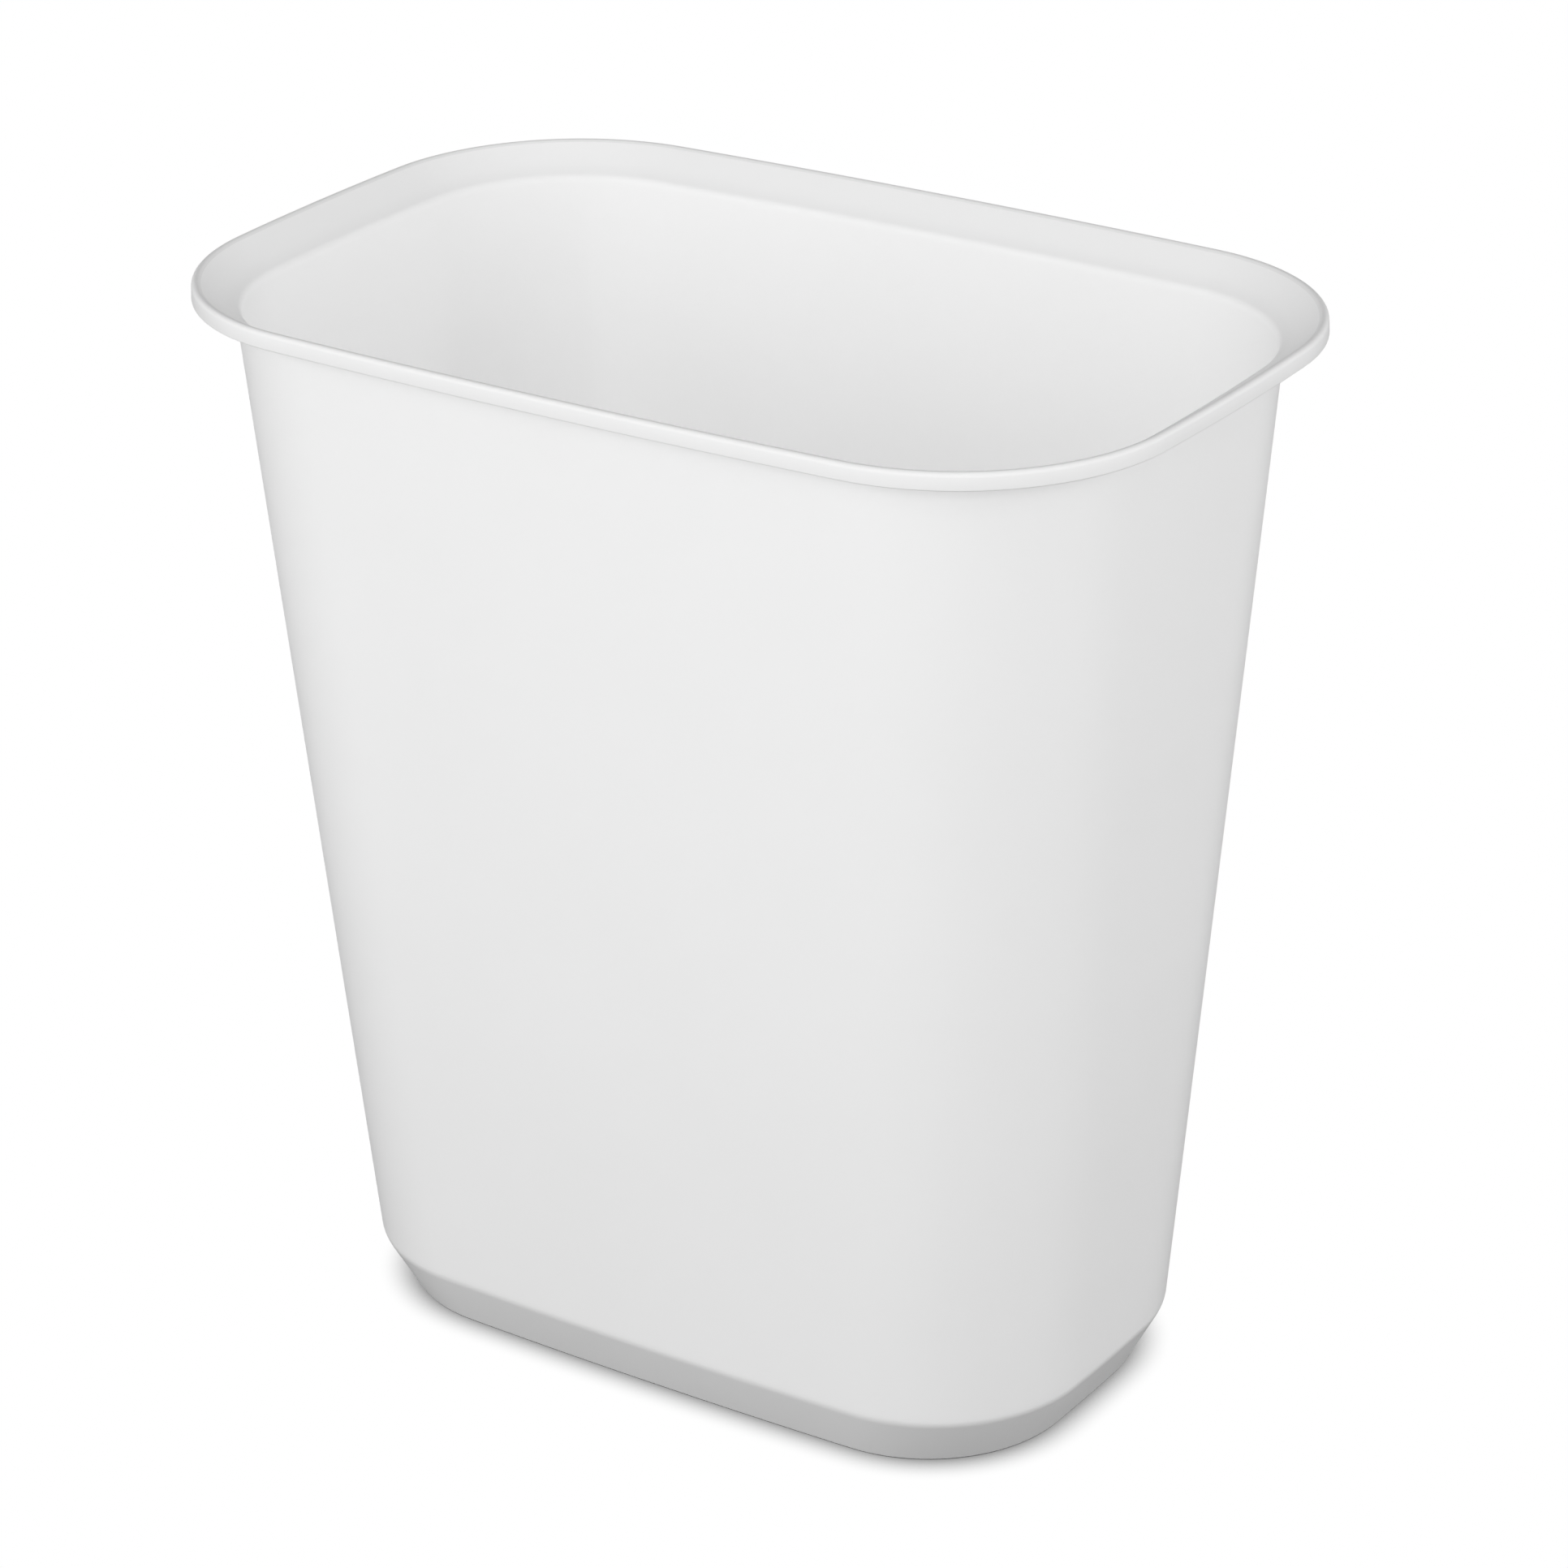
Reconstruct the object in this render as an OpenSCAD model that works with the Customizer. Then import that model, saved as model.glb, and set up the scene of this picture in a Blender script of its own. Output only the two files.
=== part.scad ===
// Rectangular open-top wastebasket, one plastic moulding.
// The moulding is divided at its natural edges into six regions that meet face to face:
// rim_lip, rim_collar, side_wall, foot_band, foot_ring and floor_panel.
// Every region is a skin drawn through plan outlines. An outline is a rectangle with bowed
// sides and round corners, and a station holds its sizes and its height.
// Origin: centre of the footprint, on the surface that the basket stands on. +X is the long way.

/* [Rim] */
// Height of the basket, to the top of the rim
height = 318; // [300:1:340]
// Length over the lip, at its lower edge
rim_length = 306; // [290:1:320]
// Width over the lip, at its lower edge
rim_width = 200; // [190:1:212]
// Plan radius of the rim's corners
rim_corner_r = 63.5; // [58:0.5:70]
// Plan radius of the bow of the two long sides of the rim
side_bow_r = 2150; // [1500:50:4000]
// Plan radius of the bow of the two short ends of the rim
end_bow_r = 850; // [600:50:2000]
// Height of the lip's outer face
lip_height = 4.9; // [4:0.1:7]
// How far the lip's lower edge stands out past its top edge
lip_flare = 0.2; // [0:0.1:1.5]
// Radius of the rounded top edge of the lip
lip_round = 1.4; // [0.4:0.1:1.6]
// Radius of the lip's two lower edges
lip_edge = 0.35; // [0.2:0.05:0.5]

/* [Collar] */
// Slope of the collar, downwards and inwards, in degrees
collar_slope = 35; // [28:1:38]
// Radius of the rounded edge from the collar to the inside of the wall
collar_round = 3; // [2:0.5:5]
// Radius of the hollow corner under the collar
collar_hollow = 1.2; // [0.6:0.2:2]

/* [Wall] */
// Thickness of the wall, the collar and the lip
wall = 1.6; // [1.2:0.1:2]
// Distance from the top of the rim down to where the wall meets the collar
collar_depth = 12.5; // [12:0.5:20]
// Distance in from the rim's outermost outline to the top of the wall
wall_inset = 12.3; // [11:0.1:14]

/* [Foot] */
// Height of the crease between the wall and the foot band
crease_height = 16.6; // [14:0.2:20]
// Outside length at the crease
crease_length = 237.2; // [225:0.2:245]
// Outside width at the crease
crease_width = 136; // [128:0.5:144]
// Plan radius of the corners at the crease
crease_corner_r = 48; // [42:0.5:54]
// How far above and below the crease its rounding reaches
crease_reach = 1.4; // [0.4:0.2:3]
// Height of the strip of straight wall that the foot band keeps above that rounding
band_strip = 2; // [0.5:0.5:4]
// Outside length of the outline that rests on the floor
foot_length = 220.2; // [210:0.2:226]
// Outside width of the outline that rests on the floor
foot_width = 121.2; // [112:0.2:128]
// Plan radius of the corners at the floor
foot_corner_r = 43.8; // [38:0.2:48]
// Radius of the outer edge that meets the floor
foot_round = 1; // [0.4:0.2:2]
// Width of the flat ring that the basket rests on
rest_width = 3; // [2:0.5:3.5]

/* [Floor] */
// How far the floor panel is recessed above the resting ring
recess = 3; // [2:0.5:4]
// Inward slant of the side of that recess, over its depth
recess_draft = 0.5; // [0.2:0.1:0.8]
// Thickness of the floor panel
floor_t = 2; // [1.6:0.1:3]
// Radius of the corner between the floor and the wall, inside
inside_round = 8; // [5:0.5:8]
// How far the middle of the floor is crowned upwards
crown = 1.4; // [0.5:0.1:2.5]
// Radius of the shallow round sink under the middle of the floor
sink_r = 11; // [8:1:16]
// Depth of that sink
sink_depth = 0.6; // [0.3:0.1:0.8]
// Radius of the moulding gate's stub in the middle of the sink
gate_r = 1.8; // [1:0.1:3]
// Height of that stub
gate_h = 0.4; // [0.1:0.1:0.6]

/* [Hidden] */

plastic = [0.93, 0.93, 0.925];

// Steps in each quarter of an outline: along half an end, round the corner, along half a side
end_steps = 2;
corner_steps = 10;
side_steps = 2;
// Steps in a section's round edges
round_steps = 3;

wall_top = height - collar_depth;

// A station is [half length, half width, side bow radius, end bow radius, corner radius, height].
rim = [rim_length / 2, rim_width / 2, side_bow_r, end_bow_r, rim_corner_r, 0];
wall_side_bow_r = side_bow_r - wall_inset;
wall_end_bow_r = end_bow_r - wall_inset;
crease = [crease_length / 2, crease_width / 2, wall_side_bow_r, wall_end_bow_r, crease_corner_r, crease_height];
foot = [foot_length / 2, foot_width / 2, wall_side_bow_r, wall_end_bow_r, foot_corner_r, 0];

function inset(s, d) = [for (i = [0:5]) i < 5 ? s[i] - d : s[i]];
function mix(s, t, k) = s + (t - s) * k;
function bend(s, middle, t, k) = mix(mix(s, middle, k), mix(middle, t, k), k);

// Slopes of the wall and of the foot band, as the inward travel for each millimetre of height,
// halfway between those of the sides and of the ends
draft = ((rim_length - crease_length) / 2 + (rim_width - crease_width) / 2 - 2 * wall_inset)
    / (2 * (wall_top - crease_height));
band_slope = ((crease_length - foot_length) / 2 + (crease_width - foot_width) / 2) / (2 * crease_height);

// Sections are drawn with the first coordinate pointing inwards and the second one up.
// A point of the rim's section is measured in from the lip's outermost outline.
function rim_at(p) = concat([for (i = [0:4]) rim[i] - p[0]], [p[1]]);
// Outside of the wall and of the foot band at the height z, and d millimetres further in
function wall_at(z, d = 0) =
    inset(mix(crease, rim_at([wall_inset, wall_top]), (z - crease_height) / (wall_top - crease_height)), d);
function band_at(z, d = 0) = inset(mix(foot, crease, z / crease_height), d);
// A point of the foot's section is measured in from the outline that meets the floor.
function foot_at(p) = band_at(p[1], p[0] + band_slope * p[1]);

// Points on an arc, with or without its last one
function arc(c, r, from, to, steps, last = true) =
    [for (i = [0:last ? steps : steps - 1]) let (t = from + (to - from) * i / steps) c + r * [cos(t), sin(t)]];

// One quarter of an outline, from the middle of the +X end to the middle of the +Y side.
// The corner's arc touches both bows, which sets how far its centre is from theirs.
function quarter(s) =
    let (
        side_c = [0, s[1] - s[2]],
        end_c = [s[0] - s[3], 0],
        from_side = s[2] - s[4],
        from_end = s[3] - s[4],
        across = end_c - side_c,
        gap = norm(across),
        along = (from_side ^ 2 - from_end ^ 2 + gap ^ 2) / (2 * gap),
        off = sqrt(from_side ^ 2 - along ^ 2),
        corner_c = side_c + (across * along + [across[1], -across[0]] * off) / gap,
        end_angle = atan2(corner_c[1] - end_c[1], corner_c[0] - end_c[0]),
        side_angle = atan2(corner_c[1] - side_c[1], corner_c[0] - side_c[0])
    )
    concat(
        arc(end_c, s[3], 0, end_angle, end_steps, false),
        arc(corner_c, s[4], end_angle, side_angle, corner_steps, false),
        arc(side_c, s[2], side_angle, 90, side_steps)
    );

// A whole loop at the height z from one quarter of it
function mirrored(q, z) =
    let (n = len(q))
    concat(
        [for (i = [0:n - 1]) [q[i][0], q[i][1], z]],
        [for (i = [n - 2:-1:0]) [-q[i][0], q[i][1], z]],
        [for (i = [1:n - 1]) [-q[i][0], -q[i][1], z]],
        [for (i = [n - 2:-1:1]) [q[i][0], -q[i][1], z]]
    );
function outline(s) = mirrored(quarter(s), s[5]);
function round_loop(r, z) = mirrored(arc([0, 0], r, 0, 90, end_steps + corner_steps + side_steps), z);

// A solid whose skin passes through the loops. A closed one is a ring, with its last loop
// joined to its first, and an open one has a flat cap at each end.
module skin(loops, closed = true) {
    n = len(loops[0]);
    m = len(loops);
    walls = [
        for (j = [0:closed ? m - 1 : m - 2], i = [0:n - 1])
            let (a = j * n, b = ((j + 1) % m) * n, k = (i + 1) % n)
            each [[a + i, b + i, b + k], [a + i, b + k, a + k]]
    ];
    caps = closed ? [] : [[for (i = [0:n - 1]) i], [for (i = [n - 1:-1:0]) (m - 1) * n + i]];
    polyhedron([for (l = loops) each l], concat(walls, caps));
}

// Where two lines of a section meet, each given by a point and a direction
function cross_of(u, v) = u[0] * v[1] - u[1] * v[0];
function meet(p, u, q, v) = p + u * cross_of(q - p, v) / cross_of(u, v);
function unit(v) = v / norm(v);

// A rounded corner of a section: the arc of radius r between the two lines that leave p in
// the unit directions before and after
function rounded(p, before, after, r, steps = round_steps) =
    let (
        half = acos(before * after) / 2,
        c = p + unit(before + after) * r / sin(half),
        start = p + before * r / tan(half) - c,
        end = p + after * r / tan(half) - c,
        from = atan2(start[1], start[0])
    )
    arc(c, r, from, from + atan2(cross_of(start, end), start * end), steps);

inward = [1, 0];
up = [0, 1];
wall_down = unit([draft, -1]);
band_up = unit([-band_slope, 1]);
lip_down = unit([-lip_flare, -lip_height]);
collar_down = [cos(collar_slope), -sin(collar_slope)];

// The lip's outer face and the collar's upper face meet at lip_tip. Rounding that corner takes
// tip_loss off its height, which leaves the rim at the stated height.
tip_half = acos(lip_down * collar_down) / 2;
tip_loss = -unit(lip_down + collar_down)[1] * lip_round / sin(tip_half) - lip_round;
lip_low_out = [0, height - lip_height];
lip_tip = meet(lip_low_out, lip_down, [0, height + tip_loss], inward);
lip_low_in = lip_low_out + wall * inward;
// A point on the collar's underside, and where that meets the lip's inner face
under_tip = lip_tip - up * wall / cos(collar_slope);
lip_back = meet(lip_low_in, lip_down, under_tip, collar_down);
// The lip ends and the collar starts at this distance in, past the rounded edge
lip_round_end = lip_tip[0] + lip_round / tan(tip_half) * collar_down[0];
lip_end = max(lip_back[0], lip_round_end) + 0.5;
lip_end_top = meet(lip_tip, collar_down, [lip_end, 0], up);
lip_end_under = meet(under_tip, collar_down, [lip_end, 0], up);
// Where the collar's two faces meet the wall's two faces, before they are rounded
collar_in = meet(lip_tip, collar_down, [wall_inset + wall, wall_top], wall_down);
collar_out = meet(under_tip, collar_down, [wall_inset, wall_top], wall_down);

module rim_lip() {
    section = concat(
        rounded(lip_tip, lip_down, collar_down, lip_round, 2 * round_steps),
        [lip_end_top, lip_end_under, lip_back],
        rounded(lip_low_in, -lip_down, -inward, lip_edge, 1),
        rounded(lip_low_out, inward, -lip_down, lip_edge, 1)
    );
    color(plastic) skin([for (p = section) outline(rim_at(p))]);
}

module rim_collar() {
    section = concat(
        [lip_end_top],
        rounded(collar_in, -collar_down, wall_down, collar_round),
        [[wall_inset + wall, wall_top], [wall_inset, wall_top]],
        rounded(collar_out, wall_down, -collar_down, collar_hollow, 2),
        [lip_end_under]
    );
    color(plastic) skin([for (p = section) outline(rim_at(p))]);
}

// Height at which the wall meets the foot band
wall_bottom = crease_height + crease_reach + band_strip;

module side_wall() {
    loops = [wall_at(wall_top, wall), wall_at(wall_bottom, wall), wall_at(wall_bottom), wall_at(wall_top)];
    color(plastic) skin([for (s = loops) outline(s)]);
}

// The inside corner of the floor, and the ends of its rounding on the band and on the floor
floor_top = recess + floor_t;
inside_corner = meet([wall, 0], band_up, [0, floor_top], inward);
inside_arc = rounded(inside_corner, band_up, inward, inside_round, 2 * round_steps);
// The ring ends a little above that rounding, in a face square to the band
ring_top_in = inside_arc[0][1] + 0.5;
ring_top_out = ring_top_in - wall * band_slope;
floor_edge = inside_arc[len(inside_arc) - 1][0] + 0.5;

// The crease's stations, d millimetres in from the outside, from the wall down to the band
function crease_bend(d) =
    let (above = wall_at(crease_height + crease_reach, d), below = band_at(crease_height - crease_reach, d))
    [for (i = [0:round_steps]) bend(above, inset(crease, d), below, i / round_steps)];

module foot_band() {
    outside = crease_bend(0);
    loops = concat(
        [wall_at(wall_bottom, wall)],
        crease_bend(wall),
        [band_at(ring_top_in, wall), band_at(ring_top_out)],
        [for (i = [round_steps:-1:0]) outside[i]],
        [wall_at(wall_bottom)]
    );
    color(plastic) skin([for (s = loops) outline(s)]);
}

module foot_ring() {
    outer_edge = rounded([0, 0], inward, band_up, foot_round);
    rest_inner = outer_edge[0][0] + rest_width;
    section = concat(
        inside_arc,
        [[floor_edge, floor_top], [floor_edge, recess], [rest_inner + recess_draft, recess], [rest_inner, 0]],
        outer_edge
    );
    loops = concat([band_at(ring_top_in, wall)], [for (p = section) foot_at(p)], [band_at(ring_top_out)]);
    color(plastic) skin([for (s = loops) outline(s)]);
}

// The floor's outline drawn in to k times its size, on the crowned surface that has height z at the edge
function crowned(k, z) =
    let (edge = foot_at([floor_edge, floor_top]))
    concat([for (i = [0:4]) edge[i] * k], [z + crown * (1 + cos(180 * k)) / 2]);

module floor_panel() {
    middle = recess + crown;
    underside = [for (k = [0.4:0.2:1]) outline(crowned(k, recess))];
    top = [for (k = [1:-0.2:0.2]) outline(crowned(k, floor_top))];
    sink = [
        round_loop(gate_r, middle + sink_depth - gate_h),
        round_loop(gate_r, middle + sink_depth),
        round_loop(sink_r - sink_depth, middle + sink_depth),
        round_loop(sink_r, middle)
    ];
    color(plastic) skin(concat(sink, underside, top), false);
}

rim_lip();
rim_collar();
side_wall();
foot_band();
foot_ring();
floor_panel();
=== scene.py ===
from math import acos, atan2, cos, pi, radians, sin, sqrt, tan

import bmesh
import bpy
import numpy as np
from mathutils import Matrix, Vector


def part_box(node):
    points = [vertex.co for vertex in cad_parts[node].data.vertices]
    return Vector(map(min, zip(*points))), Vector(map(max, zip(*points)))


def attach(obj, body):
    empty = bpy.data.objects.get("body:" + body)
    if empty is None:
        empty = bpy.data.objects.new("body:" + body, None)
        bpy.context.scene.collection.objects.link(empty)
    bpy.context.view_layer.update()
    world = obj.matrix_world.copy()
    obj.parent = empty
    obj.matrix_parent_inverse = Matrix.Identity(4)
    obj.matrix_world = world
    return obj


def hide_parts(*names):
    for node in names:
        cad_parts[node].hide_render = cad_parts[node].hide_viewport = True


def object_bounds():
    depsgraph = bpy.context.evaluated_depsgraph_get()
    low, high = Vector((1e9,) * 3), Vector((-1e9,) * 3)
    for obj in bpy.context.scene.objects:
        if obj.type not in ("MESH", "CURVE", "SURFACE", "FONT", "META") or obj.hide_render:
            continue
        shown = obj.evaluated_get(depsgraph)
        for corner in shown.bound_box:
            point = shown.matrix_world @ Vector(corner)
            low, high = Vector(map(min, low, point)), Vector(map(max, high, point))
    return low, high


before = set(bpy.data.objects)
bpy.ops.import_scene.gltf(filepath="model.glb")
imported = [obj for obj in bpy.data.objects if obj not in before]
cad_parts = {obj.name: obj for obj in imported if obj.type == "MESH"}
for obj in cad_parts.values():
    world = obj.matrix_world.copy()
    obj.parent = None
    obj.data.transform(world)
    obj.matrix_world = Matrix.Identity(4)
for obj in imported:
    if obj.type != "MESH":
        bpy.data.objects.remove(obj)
cad_low, cad_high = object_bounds()

# A small white wastebasket, one satin polypropylene moulding that stands open on a plain floor.
# The CAD model's six regions of it are rebuilt here as fine, smooth skins on the same outlines.
# The moulding's own sizes are in millimetres. Blender's are in metres, and MM leads from one to
# the other. An outline is a rectangle with bowed sides and round corners. A station holds its
# sizes: half length, half width, side bow radius, end bow radius, corner radius and height.

MM = 0.001

# Radii of the plan outlines
SIDE_BOW_R = 2150
END_BOW_R = 850
RIM_CORNER_R = 63.5
CREASE_CORNER_R = 48
FOOT_CORNER_R = 43.8

# Section of the lip and the collar
LIP_HEIGHT = 4.9
LIP_FLARE = 0.2
LIP_ROUND = 1.4
LIP_EDGE = 0.35
LIP_EDGE_STEPS = 4
COLLAR_SLOPE = radians(35)
COLLAR_ROUND = 3
COLLAR_HOLLOW = 1.2
WALL = 1.6

# Section of the foot
CREASE_HEIGHT = 16.6
CREASE_REACH = 1.4
FOOT_LENGTH = 220.2
FOOT_WIDTH = 121.2
FOOT_ROUND = 1
REST_WIDTH = 3
RECESS_DRAFT = 0.5
INSIDE_ROUND = 8
FLAT_STRIP = 0.5

# Middle of the floor
FLOOR_T = 2
CROWN = 1.4
SINK_R = 11
SINK_DEPTH = 0.6
GATE_R = 1.8
GATE_H = 0.4
# Smallest of the crowned loops on the floor's underside and on its top, as shares of its outline
UNDERSIDE_FROM = 0.25
UPPER_FROM = 0.05

# Steps in each quarter of an outline, in a section's round edges, and up the wall
END_STEPS = 8
CORNER_STEPS = 30
SIDE_STEPS = 12
ROUND_STEPS = 8
WALL_ROWS = 56
FLOOR_ROWS = 24
# Edges where the faces turn by more degrees than this aren't smoothed over
SHARP_FROM = 40


def node_box(node):
    low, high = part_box(node)
    return low / MM, high / MM


def add_object(name, data):
    made = bpy.data.objects.new(name, data)
    bpy.context.collection.objects.link(made)
    return made


def finished_mesh(name, bm):
    mesh = bpy.data.meshes.new(name)
    bm.to_mesh(mesh)
    bm.free()
    return mesh


# ---- Outlines and sections ----

def inset(station, d):
    """The station of the outline that lies d millimetres in from this one."""
    return station - d * np.array([1, 1, 1, 1, 1, 0])


def mix(a, b, k):
    return a + (b - a) * k


def bend(a, middle, b, k):
    """The share k of the way from a to b, along a curve that middle draws towards itself."""
    return mix(mix(a, middle, k), mix(middle, b, k), k)


def arc(centre, r, start, end, steps):
    """Points on an arc, both ends included."""
    turns = np.linspace(start, end, steps + 1)
    return [centre + r * np.array([cos(t), sin(t)]) for t in turns]


def quarter(station):
    """A quarter of an outline, from the middle of the +X end to the middle of the +Y side."""
    half_length, half_width, side_bow_r, end_bow_r, corner_r, _ = station
    side_centre = np.array([0, half_width - side_bow_r])
    end_centre = np.array([half_length - end_bow_r, 0])
    # The corner's arc touches both bows, which sets how far its centre is from theirs
    from_side = side_bow_r - corner_r
    from_end = end_bow_r - corner_r
    across = end_centre - side_centre
    gap = np.linalg.norm(across)
    ahead = (from_side ** 2 - from_end ** 2 + gap ** 2) / (2 * gap)
    aside = sqrt(from_side ** 2 - ahead ** 2)
    square_to = np.array([across[1], -across[0]])
    corner_centre = side_centre + (across * ahead + square_to * aside) / gap
    end_turn = atan2(*(corner_centre - end_centre)[::-1])
    side_turn = atan2(*(corner_centre - side_centre)[::-1])
    return (
        arc(end_centre, end_bow_r, 0, end_turn, END_STEPS)[:-1]
        + arc(corner_centre, corner_r, end_turn, side_turn, CORNER_STEPS)[:-1]
        + arc(side_centre, side_bow_r, side_turn, pi / 2, SIDE_STEPS)
    )


def mirrored(quarter_points, z):
    """A whole loop at the height z from one quarter of it."""
    q = [(x, y) for x, y in quarter_points]
    loop = q
    loop = loop + [(-x, y) for x, y in q[-2::-1]]
    loop = loop + [(-x, -y) for x, y in q[1:]]
    loop = loop + [(x, -y) for x, y in q[-2:0:-1]]
    return [(x, y, z) for x, y in loop]


def outline(station):
    return mirrored(quarter(station), station[5])


def round_loop(r, z):
    return mirrored(arc(np.zeros(2), r, 0, pi / 2, END_STEPS + CORNER_STEPS + SIDE_STEPS), z)


def point(inwards, height):
    """A point of a section. The first number points inwards and the second one up."""
    return np.array([inwards, height], float)


def unit(v):
    return v / np.linalg.norm(v)


def cross_of(u, v):
    return u[0] * v[1] - u[1] * v[0]


def meet(p, u, q, v):
    """Where the line through p along u meets the line through q along v."""
    return p + u * cross_of(q - p, v) / cross_of(u, v)


def rounded(p, before, after, r, steps=ROUND_STEPS):
    """The arc of radius r between the two lines that leave p along before and after."""
    half = acos(before @ after) / 2
    centre = p + unit(before + after) * r / sin(half)
    start = p + before * r / tan(half) - centre
    end = p + after * r / tan(half) - centre
    turn = atan2(start[1], start[0])
    return arc(centre, r, turn, turn + atan2(cross_of(start, end), start @ end), steps)


def along(start, end, steps):
    """Points from start to end, both included."""
    return [mix(start, end, k) for k in np.linspace(0, 1, steps + 1)]


# ---- Sizes that the frame gives ----

height = cad_high.z / MM
wall_low, wall_high = node_box("side_wall")
wall_bottom = wall_low.z
wall_top = wall_high.z
floor_low, _ = node_box("floor_panel")
recess = floor_low.z
floor_top = recess + FLOOR_T

INWARD = point(1, 0)
UP = point(0, 1)
lip_down = unit(point(-LIP_FLARE, -LIP_HEIGHT))
collar_down = point(cos(COLLAR_SLOPE), -sin(COLLAR_SLOPE))

# The rounding of the lip's lower outer edge takes a little off the rim's length and width
lip_low_out = point(0, height - LIP_HEIGHT)
lip_low_edge = rounded(lip_low_out, INWARD, -lip_down, LIP_EDGE, LIP_EDGE_STEPS)
edge_loss = min(lip_low_edge[0][0], lip_low_edge[-1][0])
rim = np.array([
    cad_high.x / MM + edge_loss,
    cad_high.y / MM + edge_loss,
    SIDE_BOW_R,
    END_BOW_R,
    RIM_CORNER_R,
    0,
])
wall_inset = rim[0] - wall_high.x


def rim_at(p):
    """The outline through a point of the rim's section, measured in from the lip's lower edge."""
    return inset(rim, p[0]) + np.array([0, 0, 0, 0, 0, p[1]])


# The wall's outline at its top, and the one at the crease, where the wall's straight slope meets
# the foot band
top = rim_at(point(wall_inset, wall_top))
_, band_high = node_box("foot_band")
to_crease = (wall_top - CREASE_HEIGHT) / (wall_top - wall_bottom)
crease = np.array([
    mix(top[0], band_high.x, to_crease),
    mix(top[1], band_high.y, to_crease),
    top[2],
    top[3],
    CREASE_CORNER_R,
    CREASE_HEIGHT,
])
foot = np.array([FOOT_LENGTH / 2, FOOT_WIDTH / 2, top[2], top[3], FOOT_CORNER_R, 0])


def wall_at(z, d=0):
    """The wall's outline at the height z, d millimetres in from its outside."""
    return inset(mix(crease, top, (z - CREASE_HEIGHT) / (wall_top - CREASE_HEIGHT)), d)


def band_at(z, d=0):
    """The foot band's outline at the height z, d millimetres in from its outside."""
    return inset(mix(foot, crease, z / CREASE_HEIGHT), d)


# How far the wall and the band lean out for each millimetre of height
draft = (top - crease)[:2].mean() / (wall_top - CREASE_HEIGHT)
band_slope = (crease - foot)[:2].mean() / CREASE_HEIGHT
wall_down = unit(point(draft, -1))
band_up = unit(point(-band_slope, 1))


def foot_at(p):
    """The outline through a point of the foot's section, measured in from the foot's edge."""
    return band_at(p[1], p[0] + band_slope * p[1])


# ---- The six pieces of skin ----

def skin(node, loops, closed, inner_rows=0):
    """The smooth piece that stands for a node: a skin through the loops. A closed one is a ring,
    and any other is filled to a point in the middle of its first loop and of its last. Its first
    inner_rows rows of faces take the piece's second material."""
    bm = bmesh.new()
    rows = [[bm.verts.new(Vector(p) * MM) for p in loop] for loop in loops]
    around = len(rows[0])
    pairs = list(zip(rows, rows[1:]))
    if closed:
        pairs.append((rows[-1], rows[0]))
    for number, (row, following) in enumerate(pairs):
        for i in range(around):
            k = (i + 1) % around
            face = bm.faces.new((row[i], following[i], following[k], row[k]))
            face.material_index = 1 if number < inner_rows else 0
    if not closed:
        for row in (rows[0], rows[-1]):
            middle = bm.verts.new((0, 0, row[0].co.z))
            for i in range(around):
                bm.faces.new((row[i], row[(i + 1) % around], middle))
    bmesh.ops.recalc_face_normals(bm, faces=bm.faces)
    mesh = finished_mesh(f"smooth_{node}", bm)
    mesh.shade_smooth()
    mesh.set_sharp_from_angle(angle=radians(SHARP_FROM))
    return add_object(mesh.name, mesh)


# The lip's outer face and the collar's upper face meet at lip_tip. Its rounding takes tip_loss off
# its height, so it starts that much above the object's height.
tip_half = acos(lip_down @ collar_down) / 2
tip_loss = -unit(lip_down + collar_down)[1] * LIP_ROUND / sin(tip_half) - LIP_ROUND
lip_tip = meet(lip_low_out, lip_down, point(0, height + tip_loss), INWARD)
lip_low_in = lip_low_out + WALL * INWARD
under_tip = lip_tip - UP * WALL / cos(COLLAR_SLOPE)
lip_back = meet(lip_low_in, lip_down, under_tip, collar_down)
lip_round_end = lip_tip[0] + LIP_ROUND / tan(tip_half) * collar_down[0]
lip_end = max(lip_back[0], lip_round_end) + FLAT_STRIP
lip_end_top = meet(lip_tip, collar_down, point(lip_end, 0), UP)
lip_end_under = meet(under_tip, collar_down, point(lip_end, 0), UP)


def rim_lip():
    section = (
        rounded(lip_tip, lip_down, collar_down, LIP_ROUND)
        + [lip_end_top, lip_end_under, lip_back]
        + rounded(lip_low_in, -lip_down, -INWARD, LIP_EDGE, LIP_EDGE_STEPS)
        + lip_low_edge
    )
    return skin("rim_lip", [outline(rim_at(p)) for p in section], True)


def rim_collar():
    collar_in = meet(lip_tip, collar_down, point(wall_inset + WALL, wall_top), wall_down)
    collar_out = meet(under_tip, collar_down, point(wall_inset, wall_top), wall_down)
    section = (
        [lip_end_top]
        + rounded(collar_in, -collar_down, wall_down, COLLAR_ROUND)
        + [point(wall_inset + WALL, wall_top), point(wall_inset, wall_top)]
        + rounded(collar_out, wall_down, -collar_down, COLLAR_HOLLOW)
        + [lip_end_under]
    )
    return skin("rim_collar", [outline(rim_at(p)) for p in section], True, ROUND_STEPS + 2)


def side_wall():
    inside = along(wall_at(wall_top, WALL), wall_at(wall_bottom, WALL), WALL_ROWS)
    outside = along(wall_at(wall_bottom), wall_at(wall_top), WALL_ROWS)
    return skin("side_wall", [outline(s) for s in inside + outside], True, WALL_ROWS)


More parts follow.
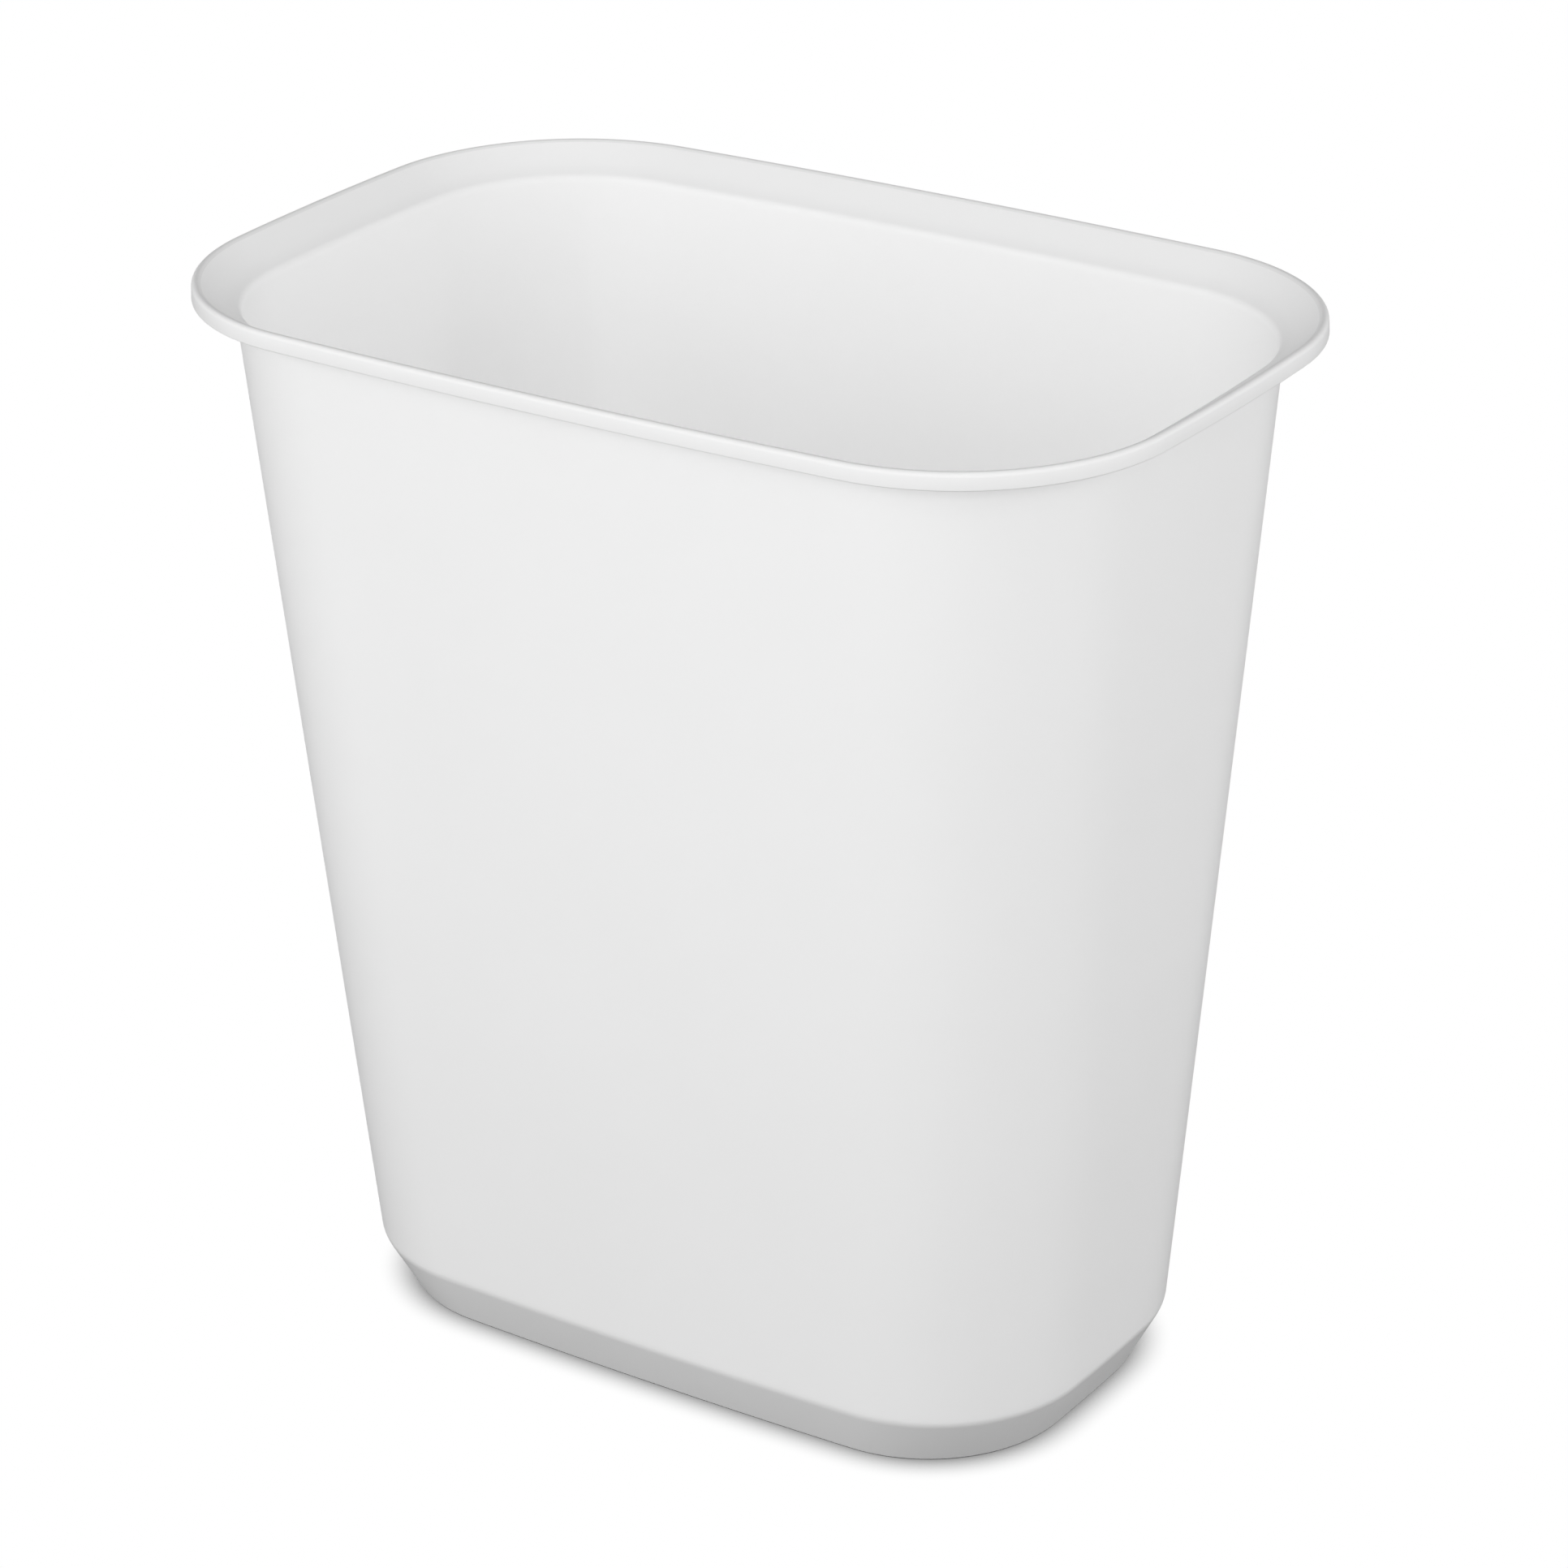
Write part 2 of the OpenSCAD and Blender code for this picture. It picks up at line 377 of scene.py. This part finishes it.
inside_corner = meet(point(WALL, 0), band_up, point(0, floor_top), INWARD)
inside_arc = rounded(inside_corner, band_up, INWARD, INSIDE_ROUND, 2 * ROUND_STEPS)
ring_top_in = inside_arc[0][1] + FLAT_STRIP
ring_top_out = ring_top_in - WALL * band_slope
floor_edge = inside_arc[-1][0] + FLAT_STRIP


def crease_bend(d):
    """The crease's stations, d millimetres in from the outside, from the wall to the band."""
    above = wall_at(CREASE_HEIGHT + CREASE_REACH, d)
    below = band_at(CREASE_HEIGHT - CREASE_REACH, d)
    return [bend(above, inset(crease, d), below, k) for k in np.linspace(0, 1, ROUND_STEPS + 1)]


def foot_band():
    loops = (
        [wall_at(wall_bottom, WALL)]
        + crease_bend(WALL)
        + [band_at(ring_top_in, WALL), band_at(ring_top_out)]
        + crease_bend(0)[::-1]
        + [wall_at(wall_bottom)]
    )
    return skin("foot_band", [outline(s) for s in loops], True, ROUND_STEPS + 2)


def foot_ring():
    outer_edge = rounded(point(0, 0), INWARD, band_up, FOOT_ROUND)
    rest_inner = outer_edge[0][0] + REST_WIDTH
    section = (
        inside_arc
        + [point(floor_edge, floor_top), point(floor_edge, recess)]
        + [point(rest_inner + RECESS_DRAFT, recess), point(rest_inner, 0)]
        + outer_edge
    )
    loops = [band_at(ring_top_in, WALL)] + [foot_at(p) for p in section] + [band_at(ring_top_out)]
    return skin("foot_ring", [outline(s) for s in loops], True)


def floor_panel():
    edge = foot_at(point(floor_edge, floor_top))

    def crowned(k, z):
        """The floor's outline drawn in to k times its size, on its crowned surface."""
        station = edge * k
        station[5] = z + CROWN * (1 + cos(pi * k)) / 2
        return station

    middle = recess + CROWN
    sink = [
        round_loop(GATE_R, middle + SINK_DEPTH - GATE_H),
        round_loop(GATE_R, middle + SINK_DEPTH),
        round_loop(SINK_R - SINK_DEPTH, middle + SINK_DEPTH),
        round_loop(SINK_R, middle),
    ]
    underside = [outline(crowned(k, recess)) for k in np.linspace(UNDERSIDE_FROM, 1, FLOOR_ROWS)]
    upper = [outline(crowned(k, floor_top)) for k in np.linspace(1, UPPER_FROM, FLOOR_ROWS)]
    return skin("floor_panel", sink + underside + upper, False)


# ---- The plastic ----

# Grey tones at heights in millimetres, which paint light and shade into the plastic's colour. The
# thick foot is painted darker, as shade. The wall is painted brighter, as a glow of the light from
# the mouth that comes through it, most of all near its top. The inside of the wall, the inside
# under the collar and the lip are painted darker, with no such glow.
FOOT_PAINTED_SHADE_TONE = 0.805
BAND_TOP_PAINTED_TONE = 0.893
MIDDLE_PAINTED_GLOW_TONE = 0.937
TOP_PAINTED_GLOW_TONE = 0.955
INSIDE_LOW_PAINTED_SHADE_TONE = 0.84
INSIDE_HIGH_PAINTED_SHADE_TONE = 0.88
UNDER_COLLAR_PAINTED_SHADE_TONE = 0.865
LIP_PAINTED_SHADE_TONE = 0.88
# The inside is painted darker, as shade, over this depth below the collar, and the collar is
# painted brighter, as light, between these heights over the top of the wall
PAINTED_SHADE_DEPTH = 30
COLLAR_PAINTED_LIGHT_FROM = 3
COLLAR_PAINTED_LIGHT_TO = 8
crease_from = CREASE_HEIGHT - CREASE_REACH
crease_to = CREASE_HEIGHT + CREASE_REACH
# Painted light and shade, as grey tones by height, for the outside, the inside, the collar and the
# lip
OUTSIDE_PAINTED_LIGHT_AND_SHADE = [
    (crease_from, FOOT_PAINTED_SHADE_TONE),
    (crease_to, BAND_TOP_PAINTED_TONE),
    (height / 2, MIDDLE_PAINTED_GLOW_TONE),
    (wall_top, TOP_PAINTED_GLOW_TONE),
]
INSIDE_PAINTED_SHADE = [
    (crease_from, FOOT_PAINTED_SHADE_TONE),
    (crease_to, INSIDE_LOW_PAINTED_SHADE_TONE),
    (wall_top - PAINTED_SHADE_DEPTH, INSIDE_HIGH_PAINTED_SHADE_TONE),
    (wall_top, UNDER_COLLAR_PAINTED_SHADE_TONE),
]
COLLAR_PAINTED_LIGHT_AND_SHADE = [(wall_top + COLLAR_PAINTED_LIGHT_FROM, UNDER_COLLAR_PAINTED_SHADE_TONE), (wall_top + COLLAR_PAINTED_LIGHT_TO, TOP_PAINTED_GLOW_TONE)]
LIP_PAINTED_SHADE = [(wall_top, LIP_PAINTED_SHADE_TONE), (height, LIP_PAINTED_SHADE_TONE)]
# Share of a lamp's light that each face of the plastic lets through, in the wall and elsewhere
WALL_LETS_THROUGH = 0.75
LETS_THROUGH = 0.5

# The moulded surface. Sizes and depths are in millimetres, and each detail is a noise's octaves.
PLASTIC_IOR = 1.49
PIGMENT_SIZE = 60
PIGMENT_DETAIL = 2
PIGMENT_THIN = (0.991, 0.991, 0.990, 1)
PIGMENT_FULL = (1, 1, 1, 1)
PATCH_SIZE = 9
PATCH_DETAIL = 4
GLOSSY_ROUGHNESS = 0.58
DULL_ROUGHNESS = 0.66
WAVE_SIZE = 30
WAVE_DETAIL = 1
WAVE_DEPTH = 0.05
GRAIN_SIZE = 0.7
GRAIN_DETAIL = 2
GRAIN_DEPTH = 0.012
# Most of a noise's values lie between these
NOISE_LOW = 0.3
NOISE_HIGH = 0.7


def grey(tone):
    return tone, tone, tone, 1


def noise(tree, coordinates, size, detail):
    """Noise whose features are about size millimetres across."""
    texture = tree.nodes.new("ShaderNodeTexNoise")
    texture.inputs["Scale"].default_value = 1 / (size * MM)
    texture.inputs["Detail"].default_value = detail
    tree.links.new(coordinates.outputs["Object"], texture.inputs["Vector"])
    return texture.outputs["Fac"]


def spread(tree, value, low, high):
    """A noise's values brought to between low and high."""
    scaled = tree.nodes.new("ShaderNodeMapRange")
    scaled.inputs["From Min"].default_value = NOISE_LOW
    scaled.inputs["From Max"].default_value = NOISE_HIGH
    scaled.inputs["To Min"].default_value = low
    scaled.inputs["To Max"].default_value = high
    tree.links.new(value, scaled.inputs["Value"])
    return scaled.outputs["Result"]


def tone_by_height(tree, coordinates, painted_tones):
    """The painted light and shade: a grey tone at each height, from the floor up to the object's
    top.
    """
    split = tree.nodes.new("ShaderNodeSeparateXYZ")
    tree.links.new(coordinates.outputs["Object"], split.inputs["Vector"])
    share = tree.nodes.new("ShaderNodeMapRange")
    share.inputs["From Max"].default_value = height * MM
    tree.links.new(split.outputs["Z"], share.inputs["Value"])
    ramp = tree.nodes.new("ShaderNodeValToRGB")
    stops = ramp.color_ramp.elements
    while len(stops) < len(painted_tones):
        stops.new(1)
    for stop, (z, tone) in zip(stops, painted_tones):
        stop.position = z / height
        stop.color = grey(tone)
    tree.links.new(share.outputs["Result"], ramp.inputs["Fac"])
    return ramp.outputs["Color"]


def plastic_colour(tree, coordinates, painted_tones):
    """The painted light and shade by height, in pigment that the flow of the melt has spread a
    little unevenly.
    """
    pigment = tree.nodes.new("ShaderNodeMix")
    pigment.data_type = "RGBA"
    pigment.inputs["A"].default_value = PIGMENT_THIN
    pigment.inputs["B"].default_value = PIGMENT_FULL
    mottle = noise(tree, coordinates, PIGMENT_SIZE, PIGMENT_DETAIL)
    tree.links.new(spread(tree, mottle, 0, 1), pigment.inputs["Factor"])
    colour = tree.nodes.new("ShaderNodeMix")
    colour.data_type = "RGBA"
    colour.blend_type = "MULTIPLY"
    colour.inputs["Factor"].default_value = 1
    tree.links.new(tone_by_height(tree, coordinates, painted_tones), colour.inputs["A"])
    tree.links.new(pigment.outputs["Result"], colour.inputs["B"])
    return colour.outputs["Result"]


def bump(tree, value, depth, below=None):
    """The normal of a surface that value raises by up to depth millimetres, on the one below."""
    node = tree.nodes.new("ShaderNodeBump")
    node.inputs["Distance"].default_value = depth * MM
    tree.links.new(value, node.inputs["Height"])
    if below:
        tree.links.new(below, node.inputs["Normal"])
    return node.outputs["Normal"]


def let_light_through(tree, shader, share):
    """Lets a share of a lamp's light through into the plastic's shadow, as the thin wall does."""
    glow = tree.nodes.new("ShaderNodeBsdfTransparent")
    glow.inputs["Color"].default_value = grey(share)
    path = tree.nodes.new("ShaderNodeLightPath")
    mixer = tree.nodes.new("ShaderNodeMixShader")
    tree.links.new(path.outputs["Is Shadow Ray"], mixer.inputs["Fac"])
    tree.links.new(shader.outputs["BSDF"], mixer.inputs[1])
    tree.links.new(glow.outputs["BSDF"], mixer.inputs[2])
    tree.links.new(mixer.outputs["Shader"], tree.nodes["Material Output"].inputs["Surface"])


def satin_plastic(name, painted_tones, lets_through):
    """White polypropylene with the fine grain that a spark-eroded mould leaves, and light and
    shade painted into its colour by height.
    """
    material = bpy.data.materials.new(name)
    material.use_nodes = True
    tree = material.node_tree
    shader = tree.nodes["Principled BSDF"]
    shader.inputs["IOR"].default_value = PLASTIC_IOR
    coordinates = tree.nodes.new("ShaderNodeTexCoord")
    # The base colour holds the light and shade painted by height
    tree.links.new(plastic_colour(tree, coordinates, painted_tones), shader.inputs["Base Color"])
    # Patches that left the mould slightly duller or glossier
    patches = noise(tree, coordinates, PATCH_SIZE, PATCH_DETAIL)
    roughness = spread(tree, patches, GLOSSY_ROUGHNESS, DULL_ROUGHNESS)
    tree.links.new(roughness, shader.inputs["Roughness"])
    waves = bump(tree, noise(tree, coordinates, WAVE_SIZE, WAVE_DETAIL), WAVE_DEPTH)
    fine = noise(tree, coordinates, GRAIN_SIZE, GRAIN_DETAIL)
    tree.links.new(bump(tree, fine, GRAIN_DEPTH, waves), shader.inputs["Normal"])
    let_light_through(tree, shader, lets_through)
    return material


# ---- Floor, light and camera ----

# The floor: its radius in metres, and the share of light that it throws back
FLOOR_REACH = 6
FLOOR_STEPS = 96
FLOOR_BOUNCE = 0.06
# The shade at the foot: its reach in millimetres, and how much brightness it takes off at most
CONTACT_REACH = 10
CONTACT_DEPTH = 1.25
CONTACT_POWER = 2
CONTACT_SAMPLES = 16

# Brightness of the white room as a light
ROOM_LIGHT = 0.35

# The softboxes: their elevation in degrees, their distance and size in metres, and then the name,
# the azimuth in degrees and the power in watts of each
SOFTBOX_ELEVATION = 8
SOFTBOX_DISTANCE = 2.4
SOFTBOX_SIZE = 2.2
SOFTBOXES = (
    ("front_left", -30, 44.4),
    ("front_right", 30, 31.6),
    ("right", 90, 24.8),
    ("back_right", 120, 20.1),
)

# The camera: its angles in degrees, its lens in millimetres, and how far back, right and up from
# the object's centre it stands, in object heights
CAMERA_AZIMUTH = 34.06
CAMERA_ELEVATION = 24.53
CAMERA_ROLL = -0.87
CAMERA_LENS = 120.12
CAMERA_SENSOR = 36
CAMERA_BACK = 4.7315
CAMERA_RIGHT = 0.0203
CAMERA_UP = 0.0280

centre = Vector((0, 0, cad_high.z / 2))


def camera_only(tree, shown, unseen):
    """Mixes two shaders: shown is what the camera sees, and unseen is what lights the object."""
    mixer = tree.nodes.new("ShaderNodeMixShader")
    path = tree.nodes.new("ShaderNodeLightPath")
    tree.links.new(path.outputs["Is Camera Ray"], mixer.inputs["Fac"])
    tree.links.new(unseen.outputs[0], mixer.inputs[1])
    tree.links.new(shown.outputs[0], mixer.inputs[2])
    return mixer.outputs["Shader"]


def contact_shade(tree):
    """Brightness that falls from 1 only where the foot closes off the light from the floor."""
    contact = tree.nodes.new("ShaderNodeAmbientOcclusion")
    contact.samples = CONTACT_SAMPLES
    contact.inputs["Distance"].default_value = CONTACT_REACH * MM
    closed = tree.nodes.new("ShaderNodeMath")
    closed.operation = "SUBTRACT"
    closed.inputs[0].default_value = 1
    tree.links.new(contact.outputs["AO"], closed.inputs[1])
    steeper = tree.nodes.new("ShaderNodeMath")
    steeper.operation = "POWER"
    steeper.inputs[1].default_value = CONTACT_POWER
    tree.links.new(closed.outputs["Value"], steeper.inputs[0])
    shade = tree.nodes.new("ShaderNodeMath")
    shade.operation = "MULTIPLY_ADD"
    shade.inputs[1].default_value = -CONTACT_DEPTH
    shade.inputs[2].default_value = 1
    tree.links.new(steeper.outputs["Value"], shade.inputs[0])
    return shade.outputs["Value"]


def studio_white():
    """It shows as evenly lit studio white, and throws little light back on to the object."""
    material = bpy.data.materials.new("studio_white")
    material.use_nodes = True
    tree = material.node_tree
    tree.nodes.remove(tree.nodes["Principled BSDF"])
    brightness = contact_shade(tree)
    shown = tree.nodes.new("ShaderNodeEmission")
    tree.links.new(brightness, shown.inputs["Strength"])
    unseen = tree.nodes.new("ShaderNodeBsdfDiffuse")
    unseen.inputs["Color"].default_value = grey(FLOOR_BOUNCE)
    output = tree.nodes["Material Output"]
    tree.links.new(camera_only(tree, shown, unseen), output.inputs["Surface"])
    return material


def floor():
    """A wide white disc under the object."""
    bm = bmesh.new()
    bmesh.ops.create_circle(bm, cap_ends=True, segments=FLOOR_STEPS, radius=FLOOR_REACH)
    mesh = finished_mesh("studio_floor", bm)
    plane = add_object(mesh.name, mesh)
    plane.data.materials.append(studio_white())


def surroundings():
    """A plain white room, which is dimmer as a light than it looks."""
    world = bpy.data.worlds.new("white_room")
    world.use_nodes = True
    tree = world.node_tree
    shown = tree.nodes["Background"]
    shown.inputs["Color"].default_value = grey(1)
    unseen = tree.nodes.new("ShaderNodeBackground")
    unseen.inputs["Strength"].default_value = ROOM_LIGHT
    unseen.inputs["Color"].default_value = grey(1)
    output = tree.nodes["World Output"]
    tree.links.new(camera_only(tree, shown, unseen), output.inputs["Surface"])
    bpy.context.scene.world = world


def direction(azimuth, elevation):
    """From the object's centre outwards. The azimuth is 0 at the front, and grows to the right."""
    return Vector((
        sin(azimuth) * cos(elevation),
        -cos(azimuth) * cos(elevation),
        sin(elevation),
    ))


def softbox(name, azimuth, power):
    """A square soft light that faces the object."""
    light = bpy.data.lights.new(name, "AREA")
    light.shape = "SQUARE"
    light.size = SOFTBOX_SIZE
    light.energy = power
    lamp = add_object(name, light)
    towards = direction(radians(azimuth), radians(SOFTBOX_ELEVATION))
    lamp.location = centre + towards * SOFTBOX_DISTANCE
    lamp.rotation_euler = towards.to_track_quat("Z", "Y").to_euler()


def camera():
    """The camera stands off the object's right front corner and looks down at it."""
    azimuth = radians(CAMERA_AZIMUTH)
    elevation = radians(CAMERA_ELEVATION)
    roll = radians(CAMERA_ROLL)
    back = direction(azimuth, elevation)
    level_right = Vector((cos(azimuth), sin(azimuth), 0))
    level_up = back.cross(level_right)
    right = level_right * cos(roll) + level_up * sin(roll)
    up = level_up * cos(roll) - level_right * sin(roll)
    data = bpy.data.cameras.new("camera")
    data.lens = CAMERA_LENS
    data.sensor_width = CAMERA_SENSOR
    offset = back * CAMERA_BACK + right * CAMERA_RIGHT + up * CAMERA_UP
    seen_from = centre + cad_high.z * offset
    turned = Matrix((right, up, back)).transposed().to_4x4()
    body = add_object("camera", data)
    body.matrix_world = Matrix.Translation(seen_from) @ turned
    bpy.context.scene.camera = body


camera()
floor()
surroundings()
for name, azimuth, power in SOFTBOXES:
    softbox(name, azimuth, power)

# Six copies of one plastic, each with light and shade painted in by height: the lip, the inside
# and the underside of the collar darker, and the outside darker at the foot and brighter towards
# the top
lip_painted_shade = satin_plastic("satin_lip_painted_shade", LIP_PAINTED_SHADE, LETS_THROUGH)
collar_painted_light_and_shade = satin_plastic("satin_collar_painted_light_and_shade", COLLAR_PAINTED_LIGHT_AND_SHADE, LETS_THROUGH)
outside = satin_plastic("satin_outside_painted_light_and_shade", OUTSIDE_PAINTED_LIGHT_AND_SHADE, LETS_THROUGH)
inside_painted_shade = satin_plastic("satin_inside_painted_shade", INSIDE_PAINTED_SHADE, LETS_THROUGH)
wall_outside_painted_light_and_shade = satin_plastic("satin_wall_outside_painted_light_and_shade", OUTSIDE_PAINTED_LIGHT_AND_SHADE, WALL_LETS_THROUGH)
wall_inside_painted_shade = satin_plastic("satin_wall_inside_painted_shade", INSIDE_PAINTED_SHADE, WALL_LETS_THROUGH)
for make, materials in (
    (rim_lip, [lip_painted_shade]),
    (rim_collar, [outside, collar_painted_light_and_shade]),
    (side_wall, [wall_outside_painted_light_and_shade, wall_inside_painted_shade]),
    (foot_band, [outside, inside_painted_shade]),
    (foot_ring, [inside_painted_shade]),
    (floor_panel, [inside_painted_shade]),
):
    piece = make()
    for material in materials:
        piece.data.materials.append(material)
    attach(piece, "root")
    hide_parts(make.__name__)

scene = bpy.context.scene
scene.view_settings.view_transform = "Standard"
